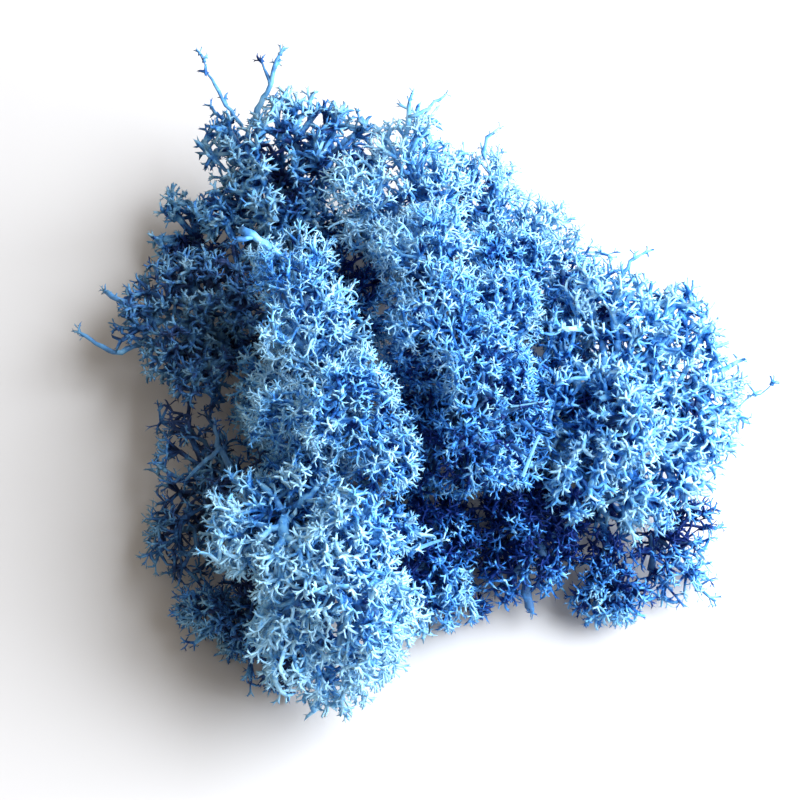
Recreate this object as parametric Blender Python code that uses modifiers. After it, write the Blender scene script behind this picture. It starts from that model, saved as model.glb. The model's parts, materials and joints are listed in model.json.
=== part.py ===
"""Clump of blue, preserved reindeer lichen.

Cushion-shaped plants lie tangled together. Each plant is a group of round, lumpy lobes grown into
one body, with the few stray branches that stand clear of it. The solids reach the tips of the fine
branches. Places and radii are in millimetres, as (x, y, z, radius), and become metres at the end.
"""

import bmesh
import bpy
from mathutils import Matrix, Vector, noise

MM = 0.001

# Clear space between neighbouring plants
PLANT_GAP = 0.60

# The relief of a lobe: broad lumps with hollows between them, and smaller heads on the lumps
LUMP_HEIGHT = 4.2
LUMP_WIDTH = 9.0
HEAD_HEIGHT = 1.5
HEAD_WIDTH = 5.5
LOBE_SUBDIVISIONS = 4
MERGE_DISTANCE = 0.0001

# How the lobes of one plant are blended into each other
BLEND_GRID = 0.9
BLEND_SHARE = 0.5
BLEND_PASSES = 4
FACE_EDGE = 3.5
FLOOR_TRIM = 0.3

# Branches that stand clear of the cushions
BRANCH_SIDES = 6
BRANCH_TIP_RADIUS = 0.26
STALK_RADIUS = 0.30
NEEDLE_RADIUS = 0.15
LOOSE_TAPER = 0.8

# Colours of the dye, as linear RGB
SKY = (0.13, 0.36, 0.72)
AZURE = (0.07, 0.24, 0.58)
ULTRAMARINE = (0.03, 0.13, 0.45)
DARK_BLUE = (0.02, 0.09, 0.28)
PALE_STEM = (0.30, 0.50, 0.68)

# Each plant: its colour, its crown lobes, the lobes of its older base, and its stray branches.
# A branch is (radius at its root, points from the root to the tip).
PLANTS = {
    "front_cushion": {
        "colour": SKY,
        "crown": [
            (-22.5, -22.5, 24, 8.5),
            (-15.5, -18, 28, 7),
            (-8.5, -30, 30, 9),
            (-5.5, -38.2, 25, 9.7),
            (-16, -40, 19, 8),
            (-8, -43, 16, 8),
            (0, -26.5, 25, 5.5),
            (-14, -35.5, 26, 8),
        ],
        "base": [(-14, -30, 15, 9)],
        "branches": [
            (0.5, [(1.5, -29.5, 26), (4, -28.5, 27.5), (6.2, -28, 28)]),
        ],
    },
    "front_left_lobe": {
        "colour": DARK_BLUE,
        "crown": [
            (-28, -30, 6.5, 6.2),
            (-25.5, -33.5, 6, 6),
            (-22, -28, 9, 7.5),
            (-20.5, -38, 7, 6.5),
        ],
        "base": [(-18.5, -33.5, 5.5, 6.2)],
        "branches": [],
    },
    "middle_cushion": {
        "colour": SKY,
        "crown": [
            (-16.5, 16.5, 33, 7.5),
            (-12.5, 2.5, 36, 8.5),
            (-7.5, -9.5, 37, 9.5),
            (-2, -16.5, 33, 7.5),
            (-17, -9.5, 31, 7),
            (-15, 9, 31, 7.5),
        ],
        "base": [
            (-14, 0, 23, 11),
            (-18, 6, 10.5, 12),
            (-18, -12, 9, 10),
            (-12, 24, 12, 12),
        ],
        "branches": [
            (0.7, [(-18, 17, 37), (-21, 18, 40), (-23, 18.5, 41), (-25, 20, 41)]),
        ],
    },
    "centre_cushion": {
        "colour": ULTRAMARINE,
        "crown": [
            (3, 20, 35, 7.5),
            (6, 6.5, 36, 8.5),
            (14, -3.5, 34, 9),
            (10.5, -13.5, 31, 8.5),
            (19.5, -12, 26, 6.5),
            (15, 12, 30, 8),
            (5, 13.5, 33, 7.5),
        ],
        "base": [
            (8, 6, 24, 12),
            (12, 8, 10.5, 12),
            (8, -8, 19, 10),
        ],
        "branches": [],
    },
    "upper_cushion": {
        "colour": SKY,
        "crown": [
            (0, 41, 30, 7.5),
            (8.5, 44, 23.5, 6.2),
            (6, 33.5, 30, 7),
            (-6.5, 38.5, 27, 6.5),
            (-3, 30, 28, 7.5),
        ],
        "base": [
            (1, 36, 19, 10),
            (1, 40, 8.5, 10),
        ],
        "branches": [
            (0.5, [(1, 43.5, 34), (1.5, 45.5, 36.5), (1.5, 47.5, 38), (2, 48.5, 39)]),
            (0.4, [(1.5, 45.5, 36.5), (4, 46, 37), (6.5, 48, 38), (7.5, 49, 38)]),
        ],
    },
    "back_right_cushion": {
        "colour": SKY,
        "crown": [
            (13.5, 44.5, 19, 7),
            (22.5, 36, 17.5, 7.3),
            (28, 25.5, 18, 6.8),
            (17, 26, 24, 7.5),
            (12.5, 39, 22, 7.5),
        ],
        "base": [
            (18, 36.5, 8, 9.3),
            (28, 25, 7.5, 8.8),
        ],
        "branches": [
            (0.5, [(14.5, 46, 24), (14.5, 47.5, 26.5), (15, 48.5, 28), (16.5, 49.5, 28)]),
        ],
    },
    "right_cushion": {
        "colour": AZURE,
        "crown": [
            (33.5, 13.5, 23, 9.3),
            (43.5, 11.5, 20, 9.3),
            (47, -1.5, 18, 8.4),
            (34.5, -7.5, 26, 9.5),
            (27.5, -15, 23, 7.5),
            (39.5, -14.5, 19, 8),
            (48.5, 6.5, 16, 7.4),
            (26, 0, 24, 7),
        ],
        "base": [
            (39, 2, 16, 11),
            (30, -2, 8.5, 10),
            (41, 10, 7.5, 9),
            (34.5, -12.5, 9, 8.5),
        ],
        "branches": [
            (0.6, [(29, 9.5, 28), (25.5, 7, 32), (24.5, 8.5, 33.5)]),
            (0.45, [(35.5, 17.5, 30), (36.5, 19.5, 31.5), (38, 21.5, 32), (39.5, 22, 31.5)]),
            (0.26, [(54, -0.5, 20), (56, 1, 21), (58, 1.5, 21.5), (59.5, 2.5, 22.5)]),
        ],
    },
    "right_low_lace": {
        "colour": AZURE,
        "crown": [
            (45.5, -14.5, 9.5, 7),
            (45.3, -22.5, 5.8, 6.8),
            (39.5, -19.5, 8.5, 7),
        ],
        "base": [],
        "branches": [],
    },
    "low_dark_cushion": {
        "colour": DARK_BLUE,
        "crown": [
            (34, -27, 6.5, 7.1),
            (33, -20.5, 8.5, 6.8),
        ],
        "base": [],
        "branches": [],
    },
    "bottom_cushion": {
        "colour": AZURE,
        "crown": [
            (6, -27, 6.5, 7.8),
            (4, -22.5, 11, 7),
            (9.5, -27.5, 5.5, 6),
            (7.5, -19.5, 14.5, 7.5),
        ],
        "base": [(6, -16, 8.5, 8.5)],
        "branches": [],
    },
    "bottom_middle_cushion": {
        "colour": DARK_BLUE,
        "crown": [
            (16, -22.5, 9, 6.5),
            (23.5, -21.5, 10, 6.5),
            (19, -17, 16.5, 7.5),
        ],
        "base": [
            (19, -13.5, 8, 8),
            (27, -16.5, 12, 6.5),
            (27, -17.5, 6.5, 6.5),
        ],
        "branches": [
            (1.2, [(19.5, -24, 9), (20.5, -27.5, 6.5), (21, -29.5, 5)]),
        ],
    },
    "left_lace": {
        "colour": DARK_BLUE,
        "crown": [
            (-34.5, -11, 7, 7),
            (-35, -18.5, 6, 6),
            (-33.5, -1, 9, 7),
            (-27.5, -11, 12, 7),
        ],
        "base": [(-35, 4, 7.5, 6.5)],
        "branches": [
            (0.6, [(-27, -10, 17), (-28.5, -7.5, 20), (-29.5, -6, 21), (-29.5, -4.5, 22)]),
            (0.5, [(-28.5, -7.5, 20), (-31.5, -9, 17.5), (-34, -10.5, 15)]),
        ],
    },
    "left_upper_cushion": {
        "colour": DARK_BLUE,
        "crown": [
            (-39, 27.5, 11, 7),
            (-35, 15.5, 11, 7.5),
            (-31, 7, 12, 7),
            (-42.5, 21.5, 10, 5.5),
            (-28.5, 24, 16.5, 8.5),
        ],
        "base": [(-32, 22, 6.5, 8)],
        "branches": [
            (0.6, [(-44, 18.5, 9), (-48, 16.5, 9), (-51, 18, 9), (-54, 20, 10.5)]),
            (0.4, [(-44, 23, 13), (-46.5, 23.5, 14.5), (-49.5, 25, 15)]),
        ],
    },
    "top_left_cushion": {
        "colour": DARK_BLUE,
        "crown": [
            (-26.5, 50.5, 20, 7.4),
            (-17, 48.5, 24, 7),
            (-9.5, 46, 25.5, 6.8),
            (-19.5, 39, 22, 8),
            (-28.5, 41.5, 17, 7.4),
            (-18.5, 51.3, 26.8, 6.3),
        ],
        "base": [
            (-19, 44, 8.5, 10),
            (-10, 35, 9, 9),
            (-26.5, 47, 9, 7),
        ],
        "branches": [
            (0.7, [(-25, 53, 25), (-24, 55, 27), (-22, 57, 29.5), (-21.5, 59, 31), (-20.5, 61, 33)]),
            (0.4, [(-22, 57, 29.5), (-22.5, 59, 31), (-23.5, 60.5, 31.5)]),
            (0.45, [(-27, 53, 24), (-30, 56, 26.5), (-32, 59, 29), (-34, 62, 32)]),
            (0.4, [(-29.5, 55, 22), (-31.5, 56.5, 22.5), (-32.5, 58, 22.5)]),
        ],
    },
    "left_top_sprig": {
        "colour": SKY,
        "crown": [
            (-39, 46.5, 7.5, 5),
            (-35, 40.5, 7, 6),
        ],
        "base": [],
        "branches": [],
    },
}

# Thin straight bits caught in the centre plant, just clear of its lobes
LOOSE_BITS = {
    "loose_stalk": (STALK_RADIUS, [(18.5, -20, 33.5), (19.7, -17.2, 35), (21, -14.5, 36.5)]),
    "loose_needle": (NEEDLE_RADIUS, [(16.5, -13, 42.5), (19, -12.8, 42.9), (21.5, -12.5, 43.2)]),
}


def clear_scene():
    """Remove every object that the file starts with."""
    for thing in list(bpy.data.objects):
        bpy.data.objects.remove(thing, do_unlink=True)


def make_collection(name):
    """A collection linked to the scene."""
    group = bpy.data.collections.new(name)
    bpy.context.scene.collection.children.link(group)
    return group


def make_material(name, colour):
    """Dull, dyed plant matter."""
    material = bpy.data.materials.new(name)
    material.use_nodes = True
    shader = material.node_tree.nodes["Principled BSDF"]
    shader.inputs["Base Color"].default_value = (*colour, 1.0)
    shader.inputs["Roughness"].default_value = 0.85
    return material


def new_object(name, mesh, group):
    """An object of a mesh, in one collection."""
    thing = bpy.data.objects.new(name, mesh)
    group.objects.link(thing)
    return thing


def raise_lumps(bm, centre):
    """Swell a ball into broad lumps that carry the small heads which the fine branches end in."""
    for vert in bm.verts:
        outward = (vert.co - centre).normalized()
        lump = LUMP_HEIGHT * noise.noise(vert.co / LUMP_WIDTH)
        head = HEAD_HEIGHT * noise.noise(vert.co / HEAD_WIDTH)
        vert.co += outward * (lump + head)


def cut_flat(bm, point, normal):
    """Remove what lies past a plane and close the cut with a flat face."""
    geometry = bm.verts[:] + bm.edges[:] + bm.faces[:]
    cut = bmesh.ops.bisect_plane(
        bm, geom=geometry, dist=MERGE_DISTANCE, plane_co=point, plane_no=normal, clear_outer=True
    )
    rim = [item for item in cut["geom_cut"] if isinstance(item, bmesh.types.BMEdge)]
    bmesh.ops.holes_fill(bm, edges=rim)


def dividing_plane(lobe, other):
    """The plane where two round lobes press on each other, set back by half the gap."""
    here = Vector(lobe[:3])
    there = Vector(other[:3])
    across = there - here
    distance = across.length
    reach = (distance**2 + lobe[3] ** 2 - other[3] ** 2) / (2 * distance)
    direction = across / distance
    return here + direction * (reach - PLANT_GAP / 2), direction


def lobe_mesh(name, lobe, neighbours):
    """One lumpy ball, flat where it meets the floor and the lobes of other plants."""
    centre = Vector(lobe[:3])
    bm = bmesh.new()
    place = Matrix.Translation(centre)
    bmesh.ops.create_icosphere(bm, subdivisions=LOBE_SUBDIVISIONS, radius=lobe[3], matrix=place)
    raise_lumps(bm, centre)
    cut_flat(bm, Vector((0, 0, 0)), Vector((0, 0, -1)))
    for other in neighbours:
        distance = (Vector(other[:3]) - centre).length
        if distance < lobe[3] + other[3] + 2 * (LUMP_HEIGHT + HEAD_HEIGHT):
            cut_flat(bm, *dividing_plane(lobe, other))
    mesh = bpy.data.meshes.new(name)
    bm.to_mesh(mesh)
    bm.free()
    return mesh


def evaluated_mesh(thing):
    """What an object's modifiers make of it, as a mesh of its own."""
    depsgraph = bpy.context.evaluated_depsgraph_get()
    return bpy.data.meshes.new_from_object(thing.evaluated_get(depsgraph))


def branch_mesh(name, points, root_radius, tip_radius, group):
    """A round branch along hand-set points, thinner towards its tip, as a closed mesh."""
    curve = bpy.data.curves.new(name, "CURVE")
    curve.dimensions = "3D"
    curve.bevel_depth = 1.0
    curve.bevel_resolution = BRANCH_SIDES // 2 - 2
    curve.use_fill_caps = True
    spline = curve.splines.new("POLY")
    spline.points.add(len(points) - 1)
    for index, place in enumerate(points):
        share = index / (len(points) - 1)
        spline.points[index].co = (*place, 1.0)
        spline.points[index].radius = root_radius + (tip_radius - root_radius) * share
    tube = new_object(name + "_curve", curve, group)
    mesh = evaluated_mesh(tube)
    bpy.data.objects.remove(tube, do_unlink=True)
    bpy.data.curves.remove(curve)
    bm = bmesh.new()
    bm.from_mesh(mesh)
    bmesh.ops.remove_doubles(bm, verts=bm.verts[:], dist=MERGE_DISTANCE)
    bmesh.ops.recalc_face_normals(bm, faces=bm.faces[:])
    bm.to_mesh(mesh)
    bm.free()
    return mesh


def as_guide(thing):
    """Mark an object as a helper that is no part of the clump."""
    thing.hide_render = True
    thing.display_type = "WIRE"


def union_mesh(name, meshes, guides):
    """Several closed meshes joined into one closed solid."""
    first = new_object(name + "_first", meshes[0], guides)
    as_guide(first)
    others = bpy.data.collections.new(name + "_others")
    guides.children.link(others)
    for index, mesh in enumerate(meshes[1:]):
        as_guide(new_object(f"{name}_{index}", mesh, others))
    join = first.modifiers.new("grown together", "BOOLEAN")
    join.operation = "UNION"
    join.operand_type = "COLLECTION"
    join.collection = others
    join.solver = "EXACT"
    joined = evaluated_mesh(first)
    for thing in [first, *others.objects]:
        bpy.data.objects.remove(thing, do_unlink=True)
    bpy.data.collections.remove(others)
    return joined


def blended_mesh(name, mesh, guides):
    """Soften the creases between the lobes and keep only the faces that the form needs."""
    thing = new_object(name + "_blend", mesh, guides)
    as_guide(thing)
    remesh = thing.modifiers.new("even grid", "REMESH")
    remesh.mode = "VOXEL"
    remesh.voxel_size = BLEND_GRID
    soften = thing.modifiers.new("soft creases", "SMOOTH")
    soften.factor = BLEND_SHARE
    soften.iterations = BLEND_PASSES
    fine = evaluated_mesh(thing)
    area = sum(face.area for face in fine.polygons)
    wanted = area / (FACE_EDGE**2 * 3**0.5 / 4)
    thin = thing.modifiers.new("fewer faces", "DECIMATE")
    thin.ratio = wanted / (2 * len(fine.polygons))
    thinned = evaluated_mesh(thing)
    bpy.data.objects.remove(thing, do_unlink=True)
    bm = bmesh.new()
    bm.from_mesh(thinned)
    cut_flat(bm, Vector((0, 0, FLOOR_TRIM)), Vector((0, 0, -1)))
    bm.to_mesh(thinned)
    bm.free()
    return thinned


def in_metres(mesh):
    """Split the faces into triangles and bring millimetres to metres."""
    bm = bmesh.new()
    bm.from_mesh(mesh)
    bmesh.ops.triangulate(bm, faces=bm.faces[:])
    bmesh.ops.scale(bm, vec=Vector((MM, MM, MM)), verts=bm.verts[:])
    bm.to_mesh(mesh)
    bm.free()


def plant_object(name, plant, neighbours, parts, guides):
    """One plant: its crown and base lobes and its stray branches as one solid."""
    lobes = [lobe_mesh(name, lobe, neighbours) for lobe in plant["crown"] + plant["base"]]
    cushion = blended_mesh(name, union_mesh(name, lobes, guides), guides)
    branches = []
    for radius, points in plant["branches"]:
        branches.append(branch_mesh(name, points, radius, BRANCH_TIP_RADIUS, guides))
    mesh = union_mesh(name, [cushion, *branches], guides)
    in_metres(mesh)
    mesh.materials.clear()
    mesh.materials.append(make_material(name, plant["colour"]))
    return new_object(name, mesh, parts)


def loose_object(name, radius, points, parts, guides):
    """A thin straight bit of the same or another plant."""
    mesh = branch_mesh(name, points, radius, radius * LOOSE_TAPER, guides)
    in_metres(mesh)
    mesh.materials.clear()
    mesh.materials.append(make_material(name, PALE_STEM))
    return new_object(name, mesh, parts)


def lobes_of_others(name):
    """Every lobe that belongs to another plant."""
    others = []
    for other_name, plant in PLANTS.items():
        if other_name != name:
            others += plant["crown"] + plant["base"]
    return others


def stand_on_origin(parts):
    """Move the clump so that the middle of its footprint is the origin, resting at height zero."""
    corners = [vert.co for thing in parts.objects for vert in thing.data.vertices]
    low = [min(corner[axis] for corner in corners) for axis in range(3)]
    high = [max(corner[axis] for corner in corners) for axis in range(3)]
    shift = Vector((-(low[0] + high[0]) / 2, -(low[1] + high[1]) / 2, -low[2]))
    for thing in parts.objects:
        thing.data.transform(Matrix.Translation(shift))


def main():
    clear_scene()
    parts = make_collection("moss clump")
    guides = make_collection("guides")
    for name, plant in PLANTS.items():
        plant_object(name, plant, lobes_of_others(name), parts, guides)
    for name, (radius, points) in LOOSE_BITS.items():
        loose_object(name, radius, points, parts, guides)
    stand_on_origin(parts)


main()
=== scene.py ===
"""Moss clump: finely forked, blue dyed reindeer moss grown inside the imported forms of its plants."""

import json
import math

import bmesh
import bpy
import numpy as np
from bpy.props import FloatProperty, FloatVectorProperty, PointerProperty
from mathutils import Matrix, Vector, noise
from mathutils.bvhtree import BVHTree
from mathutils.kdtree import KDTree

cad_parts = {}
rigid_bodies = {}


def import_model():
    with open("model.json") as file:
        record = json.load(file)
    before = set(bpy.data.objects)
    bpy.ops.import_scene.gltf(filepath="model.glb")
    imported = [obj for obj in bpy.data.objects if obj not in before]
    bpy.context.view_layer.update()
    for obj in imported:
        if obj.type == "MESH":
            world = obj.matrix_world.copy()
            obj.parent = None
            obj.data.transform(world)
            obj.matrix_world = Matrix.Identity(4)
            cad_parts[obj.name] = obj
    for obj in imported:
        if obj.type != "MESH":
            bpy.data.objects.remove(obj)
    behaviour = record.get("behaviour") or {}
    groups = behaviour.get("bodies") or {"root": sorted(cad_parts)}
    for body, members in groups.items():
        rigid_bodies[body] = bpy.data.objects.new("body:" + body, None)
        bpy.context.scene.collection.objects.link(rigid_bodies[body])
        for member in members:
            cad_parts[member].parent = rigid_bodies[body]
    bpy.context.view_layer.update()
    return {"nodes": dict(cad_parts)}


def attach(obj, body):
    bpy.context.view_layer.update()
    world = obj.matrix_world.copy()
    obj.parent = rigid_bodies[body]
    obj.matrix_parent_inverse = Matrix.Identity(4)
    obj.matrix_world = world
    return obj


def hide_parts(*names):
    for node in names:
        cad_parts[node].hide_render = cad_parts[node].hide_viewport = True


bl_info = {
    "name": "Moss clump",
    "version": (1, 0, 0),
    "blender": (4, 5, 0),
    "location": "View3D > Sidebar > Moss",
    "description": "Grows finely forked reindeer moss inside the packed forms of its plants",
    "category": "Add Mesh",
}

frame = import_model()

MM = 0.001
MERGE_DISTANCE = 0.000001
TINY = 1e-12

# Roots, openings, stray branches and the camera's aim are given from this point of the packed
# frame, in millimetres
DRAWING_ORIGIN = Vector((-2.76, -5.74, -0.30))

# How joints gather towards the root: each level's spacing over the last, how far it moves in over
# that spacing, how much this varies, the most it may be of the form's depth, and the wander
LEVEL_SPREAD = 1.50
LEVEL_RISE = 0.50
RISE_VARIETY = 0.30
DEEPEST_SHARE = 0.40
JOINT_WANDER = 0.09

# How much stems point away from the root: on the first level as a share of the plant's lean, then
# how much more on each level, and the most
FIRST_PULL = 0.5
MORE_PULL = 0.09
MOST_PULL = 0.75

# The levels end at so few joints or at so wide a spacing
FEWEST_JOINTS = 5
WIDEST_SPACING = 11 * MM

# A stem's bend, as shares of its length: how far it keeps the directions of its two ends, and its
# wander; then how many steps a thin and a thick stem have
STEM_LEAVING = 0.20
STEM_ARRIVING = 0.36
STEM_WANDER = 0.09
THIN_STEPS = 2
THICK_STEPS = 3

# A stem's thickness: how it grows with the sprigs that it carries, its start over the stem below, the
# share of its run and the curve of that flare, its waist, the swell at its far end and the share of
# its run, and the far end of a trunk
STEM_POWER = 0.30
FOOT_SHARE = 0.85
FLARE_RUN = 0.35
FLARE_CURVE = 1.5
WAIST = 0.92
SWELL = 0.22
SWELL_RUN = 0.3
TRUNK_END = 0.95

# Where sprigs may stand on a form: places tried for each one kept, how deep below the surface in
# millimetres its thickness is measured from, and the thickness that it needs
SAMPLES_PER_PLACE = 5
START_INSIDE = 0.1
LEAST_THICKNESS = 1.7 * MM

# What counts as hidden: a spot with a neighbour this near, or one that faces down this far this low
NEIGHBOUR_REACH = 1.3 * MM
UNDERSIDE_SLOPE = -0.30
UNDERSIDE_HEIGHT = 9 * MM

# How far tips stand out of the form where they are hidden, and at most where they show
HIDDEN_PROUD = 0.5 * MM
MOST_PROUD = 1.6 * MM

# How flat a sprig may lie on the form, how unevenly sprigs point, their lengths over the usual one,
# how far below its spot a foot lies, a stalk's thickness over a twig's, and the gap to the floor
LEAST_SLOPE = 0.45
GROWTH_VARIETY = 0.40
SPRIG_LENGTHS = (0.8, 1.15)
FOOT_BELOW = 0.86
STALK_SHARE = 1.25
FLOOR_CLEARANCE = 0.02 * MM

# The gaps between small heads: where they start in the pattern, and its lowest and highest values
HEAD_LEVEL = 0.10
HEAD_RANGE = (-0.15, 0.6)

# Shade between plants: the ways in which a place may see the sky, how far off a neighbour still
# shades it, and how much deeper a wholly shaded place counts, in millimetres
SKY_WAYS = [
    Vector(way).normalized() for way in ((0, 0, 1), (1, 0, 1), (-1, 0, 1), (0, 1, 1), (0, -1, 1))
]
SHADE_REACH = 12 * MM
SHADE_DEPTH = 9.0

# Steps along a stray branch, how crooked it is, how its thickness varies, and the share of steps
# that fork
STRAY_STEP = 1.1 * MM
STRAY_WANDER = 0.16 * MM
STRAY_RADII = (0.75, 1.2)
STRAY_FORKS = 0.45

# Sprigs on a stray branch: their length over a plant's own sprigs, the range of it, how far they
# slant off the branch, where they fork as a share of their length, and the same for the tip's sprig
STRAY_SHARE = 0.7
STRAY_LENGTHS = (0.6, 1.1)
STRAY_SLANTS = (0.6, 1.4)
STRAY_FOOT = 0.3
TIP_LENGTH = 0.9
TIP_FOOT = 0.1

# Side sprigs on the inner stems: their length over the outer ones, the range of it, where they start
# on a step of the stem, how far they lean along it, and their room and foot over their length
SPUR_SHARE = 0.6
SPUR_LENGTHS = (0.7, 1.1)
SPUR_STARTS = (0.1, 0.9)
SPUR_LEANS = (0.1, 0.9)
SPUR_ROOM = 1.5
SPUR_FOOT = 0.35

# Crossing branches: on how many levels, how far they reach over the spacing, and their radii
CROSSING_LEVELS = 3
CROSSING_REACH = 1.5
CROSSING_RADII = (1.3, 0.8, 1.3)

# Shape of one sprig, as shares of its length: its neck, then for each order of branching the
# lengths, the end radius, the spread and the choice of counts, and how much the spread varies
SPRIG_VARIANTS = 12
NECK = 0.12
NECK_RADIUS = 0.105
HAND = (
    ((0.26, 0.46), 0.085, 0.72, (2, 3, 3)),
    ((0.18, 0.32), 0.058, 0.75, (2, 2, 3)),
    ((0.11, 0.22), 0.0, 0.65, (2, 3)),
)
TWIG = (
    ((0.30, 0.50), 0.070, 0.85, (2, 3, 3)),
    ((0.20, 0.36), 0.0, 0.70, (2, 2, 3)),
)
FORK_VARIETY = (0.6, 1.4)

# Thickness of a twig over a sprig's length, then what the tip attribute says at the end of a plain
# sprig, where a fine hand's end has 1, and along a thick stem. At sprig ends the tip attribute paints a
# highlight: full on the hands that show, fainter on the plain sprigs, which mostly stand hidden inside
# or below a plant or against its neighbours, and so paints shade there.
TWIG_SHARE = 0.095
PLAIN_TIP = 0.4
STEM_TIP = -0.5

# Each plant: its habit, its root in drawing millimetres, how far its branches lean from it, its scale
HABITS = {
    "crisp": {
        "front_cushion": ((-15.6, -23.5, 25), 0.60, 0.95),
        "right_cushion": ((30, -1, 20), 0.50, 1.08),
    },
    "dense": {
        "middle_cushion": ((-14, 0, 20), 0.30, 1.0),
        "centre_cushion": ((9, 4, 20), 0.30, 1.0),
        "upper_cushion": ((0, 36, 17), 0.35, 1.1),
        "back_right_cushion": ((20, 33, 10), 0.35, 1.1),
    },
    "shaded": {
        "front_left_lobe": ((-22, -28, 6), 0.50, 1.0),
        "low_dark_cushion": ((34, -22, 6), 0.45, 0.9),
        "bottom_cushion": ((6, -22, 8), 0.40, 1.0),
        "bottom_middle_cushion": ((20, -17, 10), 0.40, 1.0),
    },
    "lacy": {
        "left_lace": ((-27, -10, 9), 0.60, 1.0),
        "right_low_lace": ((41, -17, 8), 0.60, 0.85),
    },
    "old": {
        "left_upper_cushion": ((-30, 20, 9), 0.55, 0.85),
        "top_left_cushion": ((-19, 43, 12), 0.50, 1.0),
        "left_top_sprig": ((-34, 39, 6), 0.60, 0.9),
    },
}

# For each habit: thickness of its branches, mean run of stem between side sprigs in millimetres,
# and the share of joints that a crossing branch ties to a neighbour
STOUTNESS = {"crisp": 1.15, "dense": 1.0, "shaded": 1.0, "lacy": 0.9, "old": 1.3}
SPUR_RUN = {"crisp": 4.0, "dense": 30, "shaded": 4.0, "lacy": 3.2, "old": 4.0}
CROSSING_SHARE = {"crisp": 0.60, "dense": 0.30, "shaded": 0.45, "lacy": 0.75, "old": 0.75}

# How much wider apart sprigs stand below a plant and against its neighbours
HIDDEN_SPREAD = {"crisp": 1.05, "dense": 1.05, "shaded": 1.1, "lacy": 1.7, "old": 1.5}

# Old forked branches inside a plant: how many at each joint, level by level
INNER_BRANCHES = {
    "crisp": (0, 1, 3, 4),
    "dense": (0, 1, 2, 3),
    "shaded": (0, 1, 3, 4),
    "lacy": (0, 1, 1, 2),
    "old": (0, 1, 2, 2),
}

# Their length over the level's spacing, the range of it, how far they lean outwards, their room and
# foot over their length, and how far below the surface they end
INNER_LENGTH = 0.85
INNER_LENGTHS = (0.7, 1.1)
INNER_LEAN = 0.3
INNER_ROOM = 1.2
INNER_FOOT = 0.2
INNER_COVER = 0.9 * MM

# Openings where a plant shows its main fork: the middle in drawing millimetres and the radius
OPENINGS = {
    "front_cushion": ((-16.6, -25.2, 31), 4.6),
}

# How deep each plant's colour is, from 0 at pale to 1 at ultramarine: partly the plant's own dye, partly
# painted shade, deepest on the low plants and the plants at the left
DYE_AND_SHADE_LEVEL = {
    "front_cushion": -0.03,
    "middle_cushion": 0.24,
    "upper_cushion": -0.06,
    "back_right_cushion": 0.04,
    "left_top_sprig": 0.28,
    "right_cushion": 0.17,
    "right_low_lace": 0.25,
    "bottom_cushion": 0.50,
    "centre_cushion": 0.32,
    "front_left_lobe": 0.40,
    "low_dark_cushion": 0.50,
    "bottom_middle_cushion": 0.64,
    "left_lace": 0.38,
    "left_upper_cushion": 0.46,
    "top_left_cushion": 0.33,
}

# How much painted shade each plant at the left gets, as the share of a dark grey mixed into its colour,
# where taller plants shade it
PAINTED_SHADE_SHARE = {
    "front_left_lobe": 0.35,
    "left_lace": 0.5,
    "left_upper_cushion": 0.5,
    "top_left_cushion": 0.2,
    "left_top_sprig": 0.2,
}

# How much the dye's level rises for each metre along Y, towards the back of a plant
DYE_SLOPE = {"centre_cushion": -8.0, "middle_cushion": 2.0}

# Patterns of the dye, as their scale for each metre and what they add to its level
BLOTCHES = (85, -1.5)
PATCHES = (420, -2.2)
MOTTLE = (1500, -0.8)

# What tips add to the colour's level, which paints a highlight on them, and what each millimetre of
# depth adds, which paints shade deep in the moss and where neighbours close the sky; where the level
# starts, and the levels at which it is sky blue and azure
TIP_EFFECT = -0.30
DEPTH_SHADE_EFFECT = 0.11
LEVEL_START = 2.31
SKY_LEVEL = 0.35
AZURE_LEVEL = 0.68

# The tip attribute from which a stem counts as old and where it is wholly old, and how much of the
# old stem's colour it then has
OLD_FROM = -0.1
OLD_TO = -0.5
OLD_SHARE = 0.3

# The moss's surface: its roughness, its shine, and the strength and depth of its fine bumps
MOSS_ROUGHNESS = 0.5
MOSS_SHINE = 0.18
BUMP_STRENGTH = 0.5
BUMP_DEPTH = 0.04 * MM

# The dry straw of the loose bits: the scale of its streaks, where they turn, and its roughness
STREAK_SCALE = 900
STREAK_EDGES = (0.35, 0.65)
STRAW_ROUGHNESS = 0.55

# The floor, the window at the right, the light of the room, and the camera
FLOOR_SIZE = 3.0
FLOOR_ROUGHNESS = 0.9
WINDOW_PLACE = (0.36, -0.01, 0.31)
WINDOW_AIM = (0, 0, 0.015)
WINDOW_SIZE = 0.50
WINDOW_POWER = 8.5
WINDOW_COLOUR = (0.94, 1.0, 1.10)
ROOM_COLOUR = (1.0, 0.90, 0.80)
ROOM_STRENGTH = 0.44
CAMERA_AIM = (0, 0, 22)
CAMERA_ELEVATION = math.radians(60)
CAMERA_REACH = 0.3556
CAMERA_LENS = 100
CAMERA_SENSOR = 36
CAMERA_CLIP = 0.01

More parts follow.
